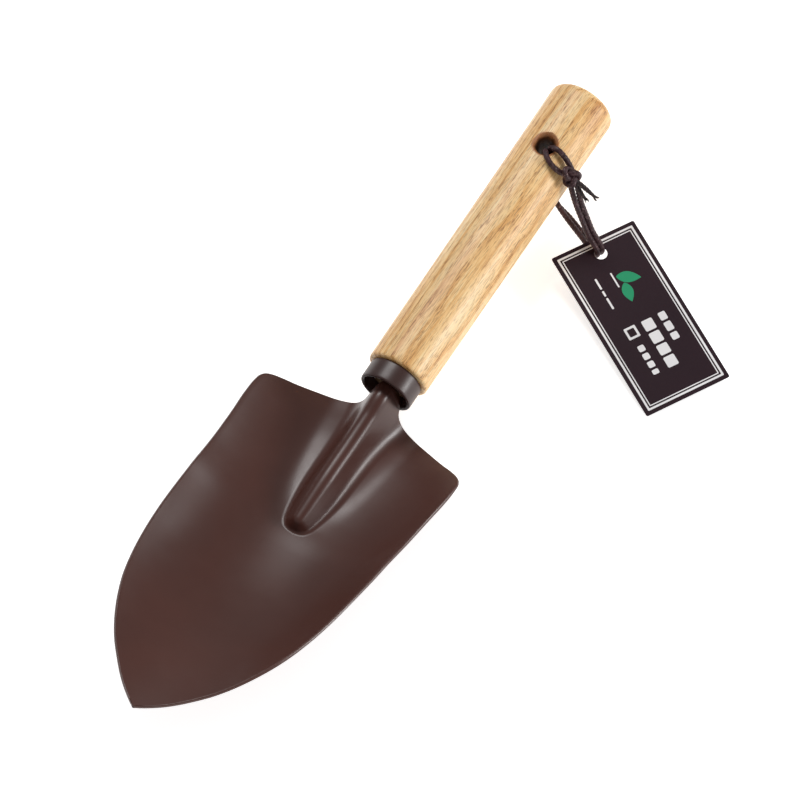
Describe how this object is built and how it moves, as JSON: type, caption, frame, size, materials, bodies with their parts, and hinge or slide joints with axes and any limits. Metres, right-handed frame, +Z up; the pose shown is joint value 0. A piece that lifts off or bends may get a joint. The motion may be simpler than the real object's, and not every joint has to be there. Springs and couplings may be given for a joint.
{
  "type": "hand transplanter",
  "caption": "Hand transplanter with a wide pressed steel scoop blade, a raised stiffening rib, a steel ferrule, a turned wooden handle and a card tag on a cord loop.",
  "frame": {"origin": "on the ground under the middle of the tool, the cord, knot and tag left out", "axes": "+Y from the blade tip to the butt of the handle, +Z up, with the hollow of the blade facing up"},
  "size_m": [0.1407, 0.3031, 0.0503],
  "materials": {
    "blade_paint": "semi-gloss dark brown baked paint",
    "ferrule_paint": "gloss dark brown paint",
    "handle_wood": "turned hardwood under satin varnish",
    "cord": "waxed twisted cotton, dark purple brown",
    "tag_card": "matte printed card, dark purple brown"
  },
  "bodies": {
    "tool": {"blade": "blade_paint", "ferrule": "ferrule_paint", "handle": "handle_wood", "cord_turn_a": "cord", "cord_turn_b": "cord", "cord_knot": "cord"},
    "tag": {"tag_card": "tag_card"}
  },
  "joints": [
    {"name": "tag_swivel", "type": "hinge", "parent": "tool", "child": "tag", "pos_m": [0.03252, 0.11141, 0.0121], "axis": [0.0605, -0.1578, 0.9856], "range_deg": [-35, 35]}
  ]
}
